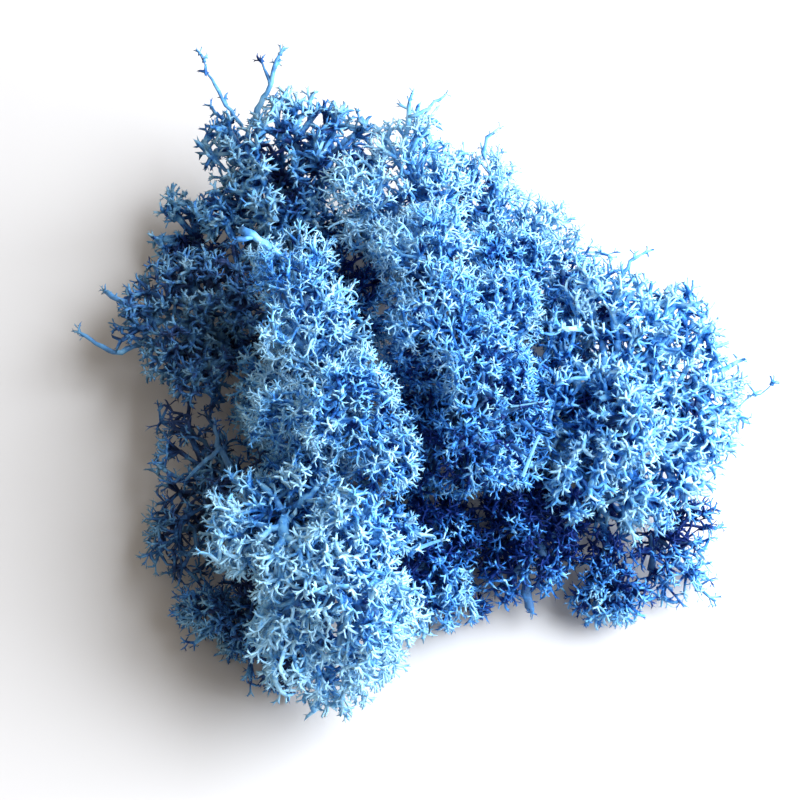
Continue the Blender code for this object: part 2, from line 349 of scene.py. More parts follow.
# Branches of each plant that stand out or stand clear, as the radii of both ends in millimetres and
# the way from root to tip in drawing millimetres
STRAYS = {
    "front_cushion": [
        (0.5, 0.2, [(1.5, -29.5, 26), (4, -28.5, 27.5), (6.2, -28, 28)]),
        (1.0, 0.8, [(-17.5, -21, 25), (-17.6, -24.5, 28), (-17.4, -28.5, 29.8)]),
        (0.7, 0.45, [(-17.4, -28.5, 29.8), (-18.4, -31, 30.4), (-17.8, -34, 30.6)]),
        (0.7, 0.4, [(-17.4, -28.5, 29.8), (-15.2, -30.6, 31.2), (-14.6, -33.4, 31.6)]),
        (0.6, 0.35, [(-14.6, -33.4, 31.6), (-12.6, -35, 32.2), (-11.4, -37.4, 32)]),
        (0.6, 0.4, [(-17.5, -25.5, 28.6), (-19.8, -26.6, 28.8), (-21.8, -26, 29.2)]),
        (0.5, 0.3, [(-19.8, -26.6, 28.8), (-21.4, -28.6, 29)]),
        (0.6, 0.4, [(-17.6, -23, 27.4), (-19.2, -21.2, 29.2), (-21, -19.6, 30)]),
        (0.75, 0.5, [(-17, -22, 27), (-14.2, -22.4, 30.6), (-12.4, -21, 33)]),
        (0.5, 0.3, [(-14.2, -22.4, 30.6), (-12, -24.4, 33.2), (-10, -24.6, 34.4)]),
    ],
    "middle_cushion": [
        (0.6, 0.75, [(-18, 17, 37), (-21, 18, 40), (-23, 18.5, 41), (-25, 20, 41)]),
        (0.3, 0.5, [(-23, 18.5, 41), (-25.5, 18, 41.5)]),
    ],
    "centre_cushion": [
        (0.45, 0.22, [(14.2, -10.5, 35.5), (15.2, -11.6, 38.6), (16.6, -12.7, 40.9), (17.6, -13, 42.3)]),
        (0.3, 0.2, [(15.2, -11.6, 38.6), (14.6, -13.6, 40.2), (15.4, -14.2, 41.4)]),
        (0.4, 0.2, [(18.6, -8, 35), (19.2, -9.8, 38.2), (20, -11.6, 41), (20.6, -12.5, 42.8)]),
        (0.45, 0.22, [(18.6, -10, 33), (19.8, -12.2, 34.6), (20.6, -14.2, 36.1)]),
        (0.4, 0.2, [(17, -14, 32.5), (18.4, -16, 33.8), (19.6, -17.1, 34.7)]),
    ],
    "upper_cushion": [
        (0.5, 0.2, [(1, 43.5, 34), (1.5, 45.5, 36.5), (1.5, 47.5, 38), (2, 48.5, 39)]),
        (0.4, 0.2, [(1.5, 45.5, 36.5), (4, 46, 37), (6.5, 48, 38), (7.5, 49, 38)]),
    ],
    "back_right_cushion": [
        (0.5, 0.2, [(14.5, 46, 24), (14.5, 47.5, 26.5), (15, 48.5, 28), (16.5, 49.5, 28)]),
    ],
    "right_cushion": [
        (0.55, 0.3, [(29, 9.5, 28), (27, 8, 31), (25.5, 7, 32), (24.5, 8.5, 33.5)]),
        (0.3, 0.2, [(25.5, 7, 32), (24, 5.5, 32.5), (22.5, 5.5, 33)]),
        (0.45, 0.2, [(35.5, 17.5, 30), (36.5, 19.5, 31.5), (38, 21.5, 32), (39.5, 22, 31.5)]),
        (0.16, 0.1, [(54, -0.5, 20), (56, 1, 21), (58, 1.5, 21.5), (59.5, 2.5, 22.5)]),
    ],
    "bottom_middle_cushion": [
        (1.0, 0.6, [(19.5, -24, 9), (20.5, -27.5, 6.5), (21, -29.5, 5)]),
    ],
    "left_lace": [
        (0.6, 0.25, [(-27, -10, 17), (-28.5, -7.5, 20), (-29.5, -6, 21), (-29.5, -4.5, 22)]),
        (0.5, 0.25, [(-28.5, -7.5, 20), (-31.5, -9, 17.5), (-34, -10.5, 15)]),
    ],
    "left_upper_cushion": [
        (0.6, 0.3, [(-44, 18.5, 9), (-48, 16.5, 9), (-51, 18, 9), (-54, 20, 10.5)]),
        (0.5, 0.6, [(-44, 23, 13), (-46.5, 23.5, 14.5), (-49.5, 25, 15)]),
    ],
    "top_left_cushion": [
        (0.7, 0.3, [(-25, 53, 25), (-24, 55, 27), (-22, 57, 29.5), (-21.5, 59, 31), (-20.5, 61, 33)]),
        (0.4, 0.2, [(-22, 57, 29.5), (-22.5, 59, 31), (-23.5, 60.5, 31.5)]),
        (0.45, 0.15, [(-27, 53, 24), (-30, 56, 26.5), (-32, 59, 29), (-34, 62, 32)]),
        (0.4, 0.25, [(-29.5, 55, 22), (-31.5, 56.5, 22.5), (-32.5, 58, 22.5)]),
    ],
}


def colour_property(name, description, default):
    """A colour that the user can change."""
    return FloatVectorProperty(
        name=name, description=description, default=default, min=0, max=1, size=3, subtype="COLOR"
    )


def length_property(name, description, default):
    """A length in metres that the user can change."""
    return FloatProperty(
        name=name,
        description=description,
        default=default,
        min=0.1 * MM,
        subtype="DISTANCE",
        unit="LENGTH",
    )


class MossSizes(bpy.types.PropertyGroup):
    """Sizes of the branching."""

    crisp_spacing: length_property("Open spacing", "Between sprigs on the open plants", 2.10 * MM)
    dense_spacing: length_property("Dense spacing", "Between sprigs on the dense plants", 1.73 * MM)
    shaded_spacing: length_property("Low spacing", "Between sprigs on the low plants", 1.75 * MM)
    lacy_spacing: length_property("Lacy spacing", "Between sprigs on the thin plants", 2.35 * MM)
    old_spacing: length_property("Old spacing", "Between sprigs on the old plants", 2.45 * MM)
    crisp_sprig: length_property("Open sprig", "Length of a sprig on the open plants", 3.05 * MM)
    dense_sprig: length_property("Dense sprig", "Length of a sprig on the dense plants", 2.40 * MM)
    shaded_sprig: length_property("Low sprig", "Length of a sprig on the low plants", 2.80 * MM)
    lacy_sprig: length_property("Lacy sprig", "Length of a sprig on the thin plants", 3.10 * MM)
    old_sprig: length_property("Old sprig", "Length of a sprig on the old plants", 3.30 * MM)
    trunk_radius: length_property("Trunk radius", "Radius of the oldest stems", 0.65 * MM)
    head_size: length_property("Head size", "Width of the small heads that a cushion shows", 3.6 * MM)
    head_depth: length_property("Head depth", "How deep the gaps between heads are", 3.0 * MM)
    stray_reach: length_property("Stray reach", "How far single sprigs stand clear", 0.45 * MM)


class MossColours(bpy.types.PropertyGroup):
    """Colours of the dye, in linear light."""

    # Pale shows mostly at the ends of the sprigs that show, where the tip attribute paints a highlight
    pale: colour_property("Pale", "Young tips where the dye is thin", (0.39, 0.71, 0.94))
    sky: colour_property("Sky blue", "Where the dye is even", (0.17, 0.49, 0.83))
    azure: colour_property("Azure", "Where the dye is strong", (0.034, 0.22, 0.65))
    # Ultramarine is reached mostly where painted shade deepens the colour, deep in the moss and between
    # plants
    ultramarine: colour_property("Ultramarine", "Where the dye has pooled", (0.001, 0.02, 0.15))
    # Painted shade: a dark grey that is mixed into the plants at the left, where taller plants shade
    # them
    painted_shade: colour_property("Dulled", "Old plants that have lost their colour", (0.045, 0.080, 0.135))
    old_stem: colour_property("Old stem", "Thick old stems that took less dye", (0.16, 0.42, 0.68))
    floor: colour_property("Floor", "The plain pale surface", (0.61, 0.595, 0.575))


class MossSettings(bpy.types.PropertyGroup):
    """Everything that a user would change."""

    sizes: PointerProperty(type=MossSizes)
    colours: PointerProperty(type=MossColours)


def in_frame(place):
    """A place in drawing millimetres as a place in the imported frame, in metres."""
    return (Vector(place) + DRAWING_ORIGIN) * MM


def new_object(name, mesh):
    """An object of a mesh in the scene's own collection."""
    thing = bpy.data.objects.new(name, mesh)
    bpy.context.scene.collection.objects.link(thing)
    return thing


def evaluated_mesh(thing):
    """What an object's modifiers or bevel make of it, as a mesh of its own. The object is removed."""
    depsgraph = bpy.context.evaluated_depsgraph_get()
    mesh = bpy.data.meshes.new_from_object(thing.evaluated_get(depsgraph))
    bpy.data.objects.remove(thing, do_unlink=True)
    return mesh


def mesh_arrays(mesh):
    """Corner places, corner normals and triangles of a mesh."""
    places = np.empty(len(mesh.vertices) * 3)
    mesh.vertices.foreach_get("co", places)
    normals = np.empty(len(mesh.vertices) * 3)
    mesh.vertices.foreach_get("normal", normals)
    mesh.calc_loop_triangles()
    triangles = np.empty(len(mesh.loop_triangles) * 3, int)
    mesh.loop_triangles.foreach_get("vertices", triangles)
    return places.reshape(-1, 3), normals.reshape(-1, 3), triangles.reshape(-1, 3)


def unit(vectors):
    """Vectors brought to length one."""
    return vectors / np.maximum(np.linalg.norm(vectors, axis=-1, keepdims=True), TINY)


def rounded_form(node):
    """A plant's outer form with its facets rounded off, as arrays."""
    mesh = frame["nodes"][node].data.copy()
    bm = bmesh.new()
    bm.from_mesh(mesh)
    bmesh.ops.remove_doubles(bm, verts=bm.verts[:], dist=MERGE_DISTANCE)
    bm.to_mesh(mesh)
    bm.free()
    form = new_object(node + "_form", mesh)
    rounding = form.modifiers.new("rounded", "SUBSURF")
    rounding.levels = 1
    rounding.render_levels = 1
    return mesh_arrays(evaluated_mesh(form))


def neighbour_tree(node):
    """A search tree over every other piece."""
    places = []
    triangles = []
    for name, thing in frame["nodes"].items():
        if name != node:
            corner_places, _, corner_triangles = mesh_arrays(thing.data)
            triangles += (corner_triangles + len(places)).tolist()
            places += corner_places.tolist()
    return BVHTree.FromPolygons(places, triangles)


def spaced_out(places, spacing):
    """Which places to keep, in the given order, so that no two are closer than the spacing."""
    cells = {}
    kept = []
    around = [(i, j, k) for i in (-1, 0, 1) for j in (-1, 0, 1) for k in (-1, 0, 1)]
    limit = spacing * spacing
    keys = np.floor(places / spacing).astype(int).tolist()
    for index, (place, key) in enumerate(zip(places.tolist(), keys)):
        free = True
        for i, j, k in around:
            other = cells.get((key[0] + i, key[1] + j, key[2] + k))
            if other is None:
                continue
            gap = sum((a - b) ** 2 for a, b in zip(place, other))
            if gap < limit:
                free = False
                break
        if free:
            cells[tuple(key)] = place
            kept.append(index)
    return np.array(kept, int)


def scatter(form, spacing, rng):
    """Evenly spread places on a form, with the outward direction at each."""
    places, normals, triangles = form
    a, b, c = (places[triangles[:, corner]] for corner in range(3))
    areas = np.linalg.norm(np.cross(b - a, c - a), axis=1) / 2
    count = int(SAMPLES_PER_PLACE * areas.sum() / spacing**2)
    chosen = rng.choice(len(areas), size=count, p=areas / areas.sum())
    u, v = rng.random((2, count, 1))
    over = u + v > 1
    u = np.where(over, 1 - u, u)
    v = np.where(over, 1 - v, v)
    spots = a[chosen] + u * (b - a)[chosen] + v * (c - a)[chosen]
    na, nb, nc = (normals[triangles[chosen, corner]] for corner in range(3))
    outward = unit(na * (1 - u - v) + nb * u + nc * v)
    kept = spaced_out(spots, spacing)
    return spots[kept], outward[kept]


def thick_enough(spots, outward, own):
    """Which spots stand on more than a single stray branch."""
    kept = []
    for index, (spot, direction) in enumerate(zip(spots, outward)):
        inward = -Vector(direction)
        start = Vector(spot) + inward * START_INSIDE * MM
        across = own.ray_cast(start, inward, LEAST_THICKNESS)[0]
        if across is None:
            kept.append(index)
    return np.array(kept, int)


def sprig_places(form, own, others, spacing, hidden_spread, rng):
    """Where sprigs stand, close together where they show and wider apart where they are hidden."""
    spots, outward = scatter(form, spacing, rng)
    kept = thick_enough(spots, outward, own)
    spots = spots[kept]
    outward = outward[kept]
    beside = np.array([others.find_nearest(Vector(s), NEIGHBOUR_REACH)[0] is not None for s in spots])
    below = (outward[:, 2] < UNDERSIDE_SLOPE) & (spots[:, 2] < UNDERSIDE_HEIGHT)
    hidden = np.flatnonzero(beside | below)
    hidden = hidden[spaced_out(spots[hidden], spacing * hidden_spread)]
    shown = np.flatnonzero(~(beside | below))
    order = np.concatenate([shown, hidden])
    visible = np.arange(len(order)) < len(shown)
    return spots[order], outward[order], visible


class Level:
    """Joints of the branching at one depth."""

    def __init__(self, places, outward, leaves):
        self.places = places
        self.outward = outward
        self.leaves = leaves
        self.parent = None


def gather(level, spacing, root, pull, own, rng):
    """The next joints inwards: each takes the joints around it and lies deeper in the plant."""
    order = rng.permutation(len(level.places))
    seeds = order[spaced_out(level.places[order], spacing)]
    finder = KDTree(len(seeds))
    for index, place in enumerate(level.places[seeds]):
        finder.insert(place, index)
    finder.balance()
    level.parent = np.array([finder.find(place)[1] for place in level.places])
    count = np.bincount(level.parent, minlength=len(seeds)).astype(float)
    places = np.zeros((len(seeds), 3))
    outward = np.zeros((len(seeds), 3))
    leaves = np.bincount(level.parent, weights=level.leaves, minlength=len(seeds))
    np.add.at(places, level.parent, level.places)
    np.add.at(outward, level.parent, level.outward)
    places /= count[:, None]
    away = unit(places - root)
    outward = unit(unit(outward) * (1 - pull) + away * pull)
    rises = LEVEL_RISE * spacing * rng.uniform(1 - RISE_VARIETY, 1 + RISE_VARIETY, len(seeds))
    for index in range(len(seeds)):
        far = own.ray_cast(Vector(places[index]), Vector(-outward[index]))[3]
        if far is not None:
            rises[index] = min(rises[index], DEEPEST_SHARE * far)
    places -= outward * rises[:, None]
    places += rng.normal(0, JOINT_WANDER * spacing, places.shape)
    return Level(places, outward, leaves)


def grow_levels(places, outward, spacing, root, lean, own, rng):
    """All levels of joints, from the sprigs' feet to the last few before the root."""
    levels = [Level(places, outward, np.ones(len(places)))]
    pull = lean * FIRST_PULL
    while len(levels[-1].places) > FEWEST_JOINTS and spacing < WIDEST_SPACING:
        spacing *= LEVEL_SPREAD
        levels.append(gather(levels[-1], spacing, root, pull, own, rng))
        pull = min(pull + MORE_PULL, MOST_PULL)
    return levels


def bent_stem(start, start_direction, end, end_direction, steps, rng):
    """Points of a stem that leaves and arrives in given directions, with a slight wander."""
    length = np.linalg.norm(end - start)
    first = start + start_direction * length * STEM_LEAVING
    last = end - end_direction * length * STEM_ARRIVING
    shares = np.linspace(0, 1, steps + 1)[:, None]
    back = 1 - shares
    points = (
        start * back**3 + first * 3 * back**2 * shares + last * 3 * back * shares**2 + end * shares**3
    )
    points[1:-1] += rng.normal(0, STEM_WANDER * length, (steps - 1, 3))
    return points


def stem_radii(foot, own_radius, steps):
    """A stem's radii: wide where it leaves its fork, slim along its run, wider again at the next."""
    shares = np.linspace(0, 1, steps + 1)
    flare = np.clip(1 - shares / FLARE_RUN, 0, 1) ** FLARE_CURVE
    swell = np.clip((shares - (1 - SWELL_RUN)) / SWELL_RUN, 0, 1) * SWELL
    return own_radius * (WAIST + swell) * (1 - flare) + foot * flare


def joint_radius(leaves, twig, sizes):
    """Thickness by how many sprigs a joint carries."""
    return np.minimum(twig * leaves**STEM_POWER, sizes.trunk_radius)


def stems_between(levels, twig, sizes, rng):
    """A stem from every joint to each joint that it carries, as points and radii by thickness."""
    thin = []
    thick = []
    for depth in range(1, len(levels) - 1):
        level = levels[depth]
        lower = levels[depth + 1]
        own_radii = joint_radius(level.leaves, twig, sizes)
        feet = joint_radius(lower.leaves, twig, sizes)
        steps = THIN_STEPS if depth == 1 else THICK_STEPS
        for index, parent in enumerate(level.parent):
            points = bent_stem(
                lower.places[parent],
                lower.outward[parent],
                level.places[index],
                level.outward[index],
                steps,
                rng,
            )
            radii = stem_radii(FOOT_SHARE * feet[parent], own_radii[index], steps)
            (thin if depth == 1 else thick).append((points, radii))
    return thin, thick


def trunk_stems(last, root, sizes, rng):
    """Join the last joints to each other and to the root by the shortest links."""
    linked = [(root, np.array([0.0, 0.0, 1.0]))]
    waiting = list(range(len(last.places)))
    stems = []
    while waiting:
        best = None
        for index in waiting:
            for spot, direction in linked:
                gap = np.linalg.norm(last.places[index] - spot)
                if best is None or gap < best[0]:
                    best = (gap, index, spot, direction)
        _, index, spot, direction = best
        waiting.remove(index)
        end = last.places[index]
        points = bent_stem(spot, direction, end, last.outward[index], THICK_STEPS, rng)
        radii = stem_radii(sizes.trunk_radius, sizes.trunk_radius * TRUNK_END, THICK_STEPS)
        stems.append((points, radii))
        linked.append((end, last.outward[index]))
    return stems


class Sprigs:
    """Sprigs of a plant: whether each is a fine hand, its joint, foot, direction and length."""

    def __init__(self):
        self.hands = []
        self.joints = []
        self.feet = []
        self.directions = []
        self.lengths = []

    def add(self, joint, foot, direction, length, hand=False):
        self.hands.append(hand)
        self.joints.append(joint)
        self.feet.append(foot)
        self.directions.append(direction)
        self.lengths.append(length)

    def arrays(self):
        lists = (self.hands, self.joints, self.feet, self.directions, self.lengths)
        return tuple(np.array(item) for item in lists)


def add_spurs(sprigs, stems, run, length, own, rng):
    """Short side sprigs on the inner stems, where there is room for them."""
    for points, _ in stems:
        pieces = np.linalg.norm(points[1:] - points[:-1], axis=1)
        for _ in range(rng.poisson(pieces.sum() / run)):
            step = rng.integers(len(pieces))
            joint = points[step] + (points[step + 1] - points[step]) * rng.uniform(*SPUR_STARTS)
            along = unit(points[step + 1] - points[step])
            side = unit(np.cross(along, rng.normal(size=3)))
            way = unit(side + along * rng.uniform(*SPUR_LEANS))
            size = length * rng.uniform(*SPUR_LENGTHS)
            if own.ray_cast(Vector(joint), Vector(way), SPUR_ROOM * size)[0] is None:
                sprigs.add(joint, joint + way * SPUR_FOOT * size, way, size)


def add_inner_branches(sprigs, levels, counts, spacing, own, rng):
    """Forked old branches that spread from the inner joints and keep the plant from being hollow."""
    for depth, (level, count) in enumerate(zip(levels, counts)):
        for joint, outward in zip(level.places, level.outward):
            for _ in range(count):
                way = unit(rng.normal(size=3) + outward * INNER_LEAN)
                size = INNER_LENGTH * spacing * LEVEL_SPREAD**depth * rng.uniform(*INNER_LENGTHS)
                room = INNER_ROOM * size + INNER_COVER
                if own.ray_cast(Vector(joint), Vector(way), room)[0] is None:
                    sprigs.add(joint, joint + way * INNER_FOOT * size, way, size)


def crossing_stems(level, spacing, share, radius, rng):
    """Bowed branches that tie a joint to a neighbour, which closes the meshes of the net."""
    finder = KDTree(len(level.places))
    for index, place in enumerate(level.places):
        finder.insert(place, index)
    finder.balance()
    stems = []
    for index, place in enumerate(level.places):
        if rng.random() > share:
            continue
        around = finder.find_range(place, CROSSING_REACH * spacing)
        near = [found for found in around if found[1] != index]
        if not near:
            continue
        other = near[rng.integers(len(near))][1]
        points = bent_stem(
            place,
            level.outward[index],
            level.places[other],
            -level.outward[other],
            THIN_STEPS,
            rng,
        )
        stems.append((points, radius * np.array(CROSSING_RADII)))
    return stems


def push_out(bm, face, direction, length, radius):
    """Extrude a face along a direction and give its end a new size."""
    centre = face.calc_center_median()
    end = bmesh.ops.extrude_discrete_faces(bm, faces=[face])["faces"][0]
    for vert in end.verts:
        spoke = vert.co - centre
        spoke -= direction * spoke.dot(direction)
        vert.co = centre + direction * length + spoke.normalized() * radius
    return end


def fork(bm, face, direction, count, spread, rng):
    """Part the end of a branch in three and return the wanted parts with their directions."""
    centre = face.calc_center_median()
    parts = bmesh.ops.poke(bm, faces=[face])["faces"]
    wanted = []
    for part in list(parts)[:count]:
        side = (part.calc_center_median() - centre).normalized()
        angle = spread * rng.uniform(*FORK_VARIETY)
        way = direction * math.cos(angle) + side * math.sin(angle)
        wanted.append((part, way.normalized()))
    return wanted


def branch_out(bm, face, direction, orders, stoutness, rng):
    """Fork the end of a branch, order after order, down to pointed spikes."""
    lengths, radius, spread, counts = orders[0]
    for part, way in fork(bm, face, direction, rng.choice(counts), spread, rng):
        length = rng.uniform(*lengths)
        if radius > 0:
            end = push_out(bm, part, way, length, radius * stoutness)
            branch_out(bm, end, way, orders[1:], stoutness, rng)
        else:
            goal = part.calc_center_median() + way * length
            tip = bmesh.ops.extrude_discrete_faces(bm, faces=[part])["faces"][0]
            bmesh.ops.pointmerge(bm, verts=tip.verts[:], merge_co=goal)


def sprig_arrays(seed, orders, stoutness):
    """One sprig, a unit long: a neck that forks again and again and ends in pointed spikes."""
    rng = np.random.default_rng(seed)
    bm = bmesh.new()
    bmesh.ops.create_cone(
        bm,
        cap_ends=True,
        segments=3,
        radius1=NECK_RADIUS * stoutness,
        radius2=NECK_RADIUS * stoutness,
        depth=NECK,
        matrix=Matrix.Translation((0, 0, NECK / 2)),
    )
    top = max(bm.faces, key=lambda face: face.calc_center_median().z)
    branch_out(bm, top, Vector((0, 0, 1)), orders, stoutness, rng)
    bmesh.ops.triangulate(bm, faces=bm.faces[:])
    bmesh.ops.recalc_face_normals(bm, faces=bm.faces[:])
    mesh = bpy.data.meshes.new("sprig")
    bm.to_mesh(mesh)
    bm.free()
    places, _, triangles = mesh_arrays(mesh)
    bpy.data.meshes.remove(mesh)
    return places, triangles


def turned_axes(directions, rng):
    """Three axes for each direction, the last along it and the others at a random turn."""
    helper = unit(rng.normal(size=directions.shape))
    first = unit(np.cross(helper, directions))
    second = np.cross(directions, first)
    return np.stack([first, second, directions], axis=2)


def sprig_field(sprigs, variants, stalk_radius, rng):
    """All sprigs of a plant, each with its stalk drawn out to its joint."""
    hands, joints, feet, directions, lengths = sprigs.arrays()
    axes = turned_axes(directions, rng)
    stalks = unit(feet - joints)
    which = rng.integers(SPRIG_VARIANTS, size=len(feet)) + np.where(hands, SPRIG_VARIANTS, 0)
    places = []
    triangles = []
    tips = []
    offset = 0
    for index, (corners, faces) in enumerate(variants):
        chosen = np.flatnonzero(which == index)
        scaled = corners[None] * lengths[chosen, None, None]
        moved = np.einsum("nij,nkj->nki", axes[chosen], scaled)
        bottom = np.flatnonzero(corners[:, 2] < NECK / 2)
        spokes = moved[:, bottom]
        along = np.einsum("nki,ni->nk", spokes, stalks[chosen])
        spokes = unit(spokes - along[:, :, None] * stalks[chosen, None])
        moved += feet[chosen, None]
        moved[:, bottom] = joints[chosen, None] + spokes * stalk_radius
        places.append(moved.reshape(-1, 3))
        steps = offset + len(corners) * np.arange(len(chosen))
        triangles.append((faces[None] + steps[:, None, None]).reshape(-1, 3))
        # Painted highlight at the ends of the sprigs: full on the fine hands that show, fainter on the
        # plain sprigs, which mostly stand hidden
        brightness = np.where(hands[chosen], 1.0, PLAIN_TIP)[:, None]
        tips.append((brightness * corners[:, 2] / corners[:, 2].max()).ravel())
        offset += len(corners) * len(chosen)
    return np.concatenate(places), np.concatenate(triangles), np.concatenate(tips)


def tube_field(name, stems, roundness):
    """Tubes along the stems, with closed ends, thick stems being rounder than thin ones."""
    curve = bpy.data.curves.new(name, "CURVE")
    curve.dimensions = "3D"
    curve.bevel_depth = 1.0
    curve.bevel_resolution = roundness
    curve.use_fill_caps = True
    for points, radii in stems:
        spline = curve.splines.new("POLY")
        spline.points.add(len(points) - 1)
        places = np.ones((len(points), 4))
        places[:, :3] = points
        spline.points.foreach_set("co", places.ravel())
        spline.points.foreach_set("radius", radii)
    mesh = evaluated_mesh(new_object(name, curve))
    bpy.data.curves.remove(curve)
    bm = bmesh.new()
    bm.from_mesh(mesh)
    bmesh.ops.remove_doubles(bm, verts=bm.verts[:], dist=MERGE_DISTANCE / 10)
    bm.to_mesh(mesh)
    bm.free()
    places, _, triangles = mesh_arrays(mesh)
    bpy.data.meshes.remove(mesh)
    return places, triangles, np.full(len(places), STEM_TIP * roundness)


def rough_route(points, radii, rng):
    """A route drawn with a few points as a slightly crooked one with many, and its radii."""
    lengths = np.linalg.norm(points[1:] - points[:-1], axis=1)
    along = np.concatenate([[0], np.cumsum(lengths)])
    steps = max(int(along[-1] / STRAY_STEP), 2)
    shares = np.linspace(0, along[-1], steps + 1)
    route = np.stack([np.interp(shares, along, points[:, axis]) for axis in range(3)], axis=1)
    route[1:-1] = (route[:-2] + 2 * route[1:-1] + route[2:]) / 4
    route[1:] += rng.normal(0, STRAY_WANDER, (steps, 3))
    return route, np.interp(shares, along, radii) * rng.uniform(*STRAY_RADII, steps + 1)


def stray_branches(node, sprigs, length, rng):
    """The branches that stand clear of a plant, crooked and forked like the rest."""
    stems = []
    for start_radius, end_radius, points in STRAYS.get(node, []):
        drawn = np.array([in_frame(point) for point in points])
        radii = np.linspace(start_radius, end_radius, len(drawn)) * MM
        route, radii = rough_route(drawn, radii, rng)
        stems.append((route, radii))
        for index in range(1, len(route)):
            along = unit(route[index] - route[index - 1])
            side = unit(np.cross(along, rng.normal(size=3)))
            way = unit(along + side * rng.uniform(*STRAY_SLANTS))
            if rng.random() < STRAY_FORKS:
                size = length * rng.uniform(*STRAY_LENGTHS)
                sprigs.add(route[index], route[index] + way * STRAY_FOOT * size, way, size)
        way = unit(route[-1] - route[-2])
        sprigs.add(route[-1], route[-1] + way * TIP_FOOT * length, way, TIP_LENGTH * length)
    return stems


def shaded_share(place, others):
    """The share of the ways to the sky that the neighbours close."""
    closed = sum(others.ray_cast(place, way, SHADE_REACH)[0] is not None for way in SKY_WAYS)
    return closed / len(SKY_WAYS)


def shade_values(places, own, others):
    """How far inside the moss each place lies, in millimetres, deeper in the shade of neighbours."""
    depths = np.array([own.find_nearest(Vector(place))[3] for place in places]) / MM
    shades = np.array([shaded_share(Vector(place), others) for place in places])
    return depths + SHADE_DEPTH * shades


def joined_mesh(name, parts, own, others):
    """One mesh of several sets of places, triangles and tip shares, kept above the floor."""
    places = []
    triangles = []
    tips = []
    offset = 0
    for part_places, part_triangles, part_tips in parts:
        places.append(part_places)
        triangles.append(part_triangles + offset)
        tips.append(part_tips)
        offset += len(part_places)
    places = np.concatenate(places)
    places[:, 2] = np.maximum(places[:, 2], FLOOR_CLEARANCE)
    triangles = np.concatenate(triangles)
    # Depth in the moss and the neighbours' shade, which the material turns into painted shade
    depths = shade_values(places, own, others)
    mesh = bpy.data.meshes.new(name)
    mesh.vertices.add(len(places))
    mesh.vertices.foreach_set("co", places.ravel())
    mesh.loops.add(triangles.size)
    mesh.loops.foreach_set("vertex_index", triangles.ravel().astype(np.int32))
    mesh.polygons.add(len(triangles))
    mesh.polygons.foreach_set("loop_start", np.arange(0, triangles.size, 3, dtype=np.int32))
    mesh.update(calc_edges=True)
    mesh.shade_smooth()
    for title, values in (("tip", np.concatenate(tips)), ("depth", depths)):
        attribute = mesh.attributes.new(title, "FLOAT", "POINT")
        attribute.data.foreach_set("value", values.astype(np.float32))
    return mesh


def relief(spots, sizes):
    """How far each spot lies below the form, in the gaps between small heads."""
    heads = np.array([noise.noise(Vector(spot) / sizes.head_size) for spot in spots])
    return sizes.head_depth * np.clip(HEAD_LEVEL - heads, *HEAD_RANGE)


def outside_opening(node, spots):
    """Which spots stand clear of a plant's opening."""
    if node not in OPENINGS:
        return np.arange(len(spots))
    middle, radius = OPENINGS[node]
    return np.flatnonzero(np.linalg.norm(spots - in_frame(middle), axis=1) > radius * MM)


def lifted(growth, outward):
    """Directions of growth turned up until none lies flatter on the form than the least slope."""
    slope = np.einsum("ij,ij->i", growth, outward)
    return unit(growth + outward * np.clip(LEAST_SLOPE - slope, 0, None)[:, None])


def grow_plant(node, habit, root, lean, scale, variants):
    """Fill a plant's form with branches and cover it with sprigs."""
    sizes = bpy.context.scene.moss_clump.sizes
    spacing = getattr(sizes, habit + "_spacing") * scale
    sprig = getattr(sizes, habit + "_sprig") * scale
    twig = TWIG_SHARE * STOUTNESS[habit] * sprig
    rng = np.random.default_rng(sum(map(ord, node)))
    root = np.array(in_frame(root))
    form = rounded_form(node)
    own = BVHTree.FromPolygons(form[0].tolist(), form[2].tolist())
    others = neighbour_tree(node)
    spots, outward, visible = sprig_places(form, own, others, spacing, HIDDEN_SPREAD[habit], rng)
    kept = outside_opening(node, spots)
    spots, outward, visible = spots[kept], outward[kept], visible[kept]
    shown = relief(spots, sizes) - rng.exponential(sizes.stray_reach, len(spots))
    sunk = np.where(visible, shown, -HIDDEN_PROUD)
    sunk = np.maximum(sunk, -MOST_PROUD)
    away = unit(spots - root)
    uneven = rng.normal(0, GROWTH_VARIETY, spots.shape)
    growth = lifted(unit(outward * (1 - lean) + away * lean + uneven), outward)
    lengths = sprig * rng.uniform(*SPRIG_LENGTHS, len(spots))
    feet = spots - outward * sunk[:, None] - growth * FOOT_BELOW * sprig
    levels = grow_levels(feet, growth, spacing, root, lean, own, rng)
    sprigs = Sprigs()
    for index, parent in enumerate(levels[0].parent):
        joint = levels[1].places[parent]
        sprigs.add(joint, feet[index], growth[index], lengths[index], hand=visible[index])
    thin, thick = stems_between(levels, twig, sizes, rng)
    add_spurs(sprigs, thin + thick, SPUR_RUN[habit] * MM, SPUR_SHARE * sprig, own, rng)
    add_inner_branches(sprigs, levels, INNER_BRANCHES[habit], spacing, own, rng)
    for depth in range(CROSSING_LEVELS):
        reach = spacing * LEVEL_SPREAD**depth
        thin += crossing_stems(levels[depth], reach, CROSSING_SHARE[habit], twig, rng)
    thick += trunk_stems(levels[-1], root, sizes, rng)
    thick += stray_branches(node, sprigs, STRAY_SHARE * sprig, rng)
    parts = [
        tube_field(node + "_thin", thin, 0),
        tube_field(node + "_thick", thick, 1),
        sprig_field(sprigs, variants, STALK_SHARE * twig, rng),
    ]
    piece = new_object(node + "_moss", joined_mesh(node + "_moss", parts, own, others))
    piece.data.materials.append(moss_material(node))
    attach(piece, "root")
    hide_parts(node)


def new_material(name):
    """A material with its nodes, its links and its shader."""
    material = bpy.data.materials.new(name)
    material.use_nodes = True
    tree = material.node_tree
    return material, tree.nodes, tree.links, tree.nodes["Principled BSDF"]


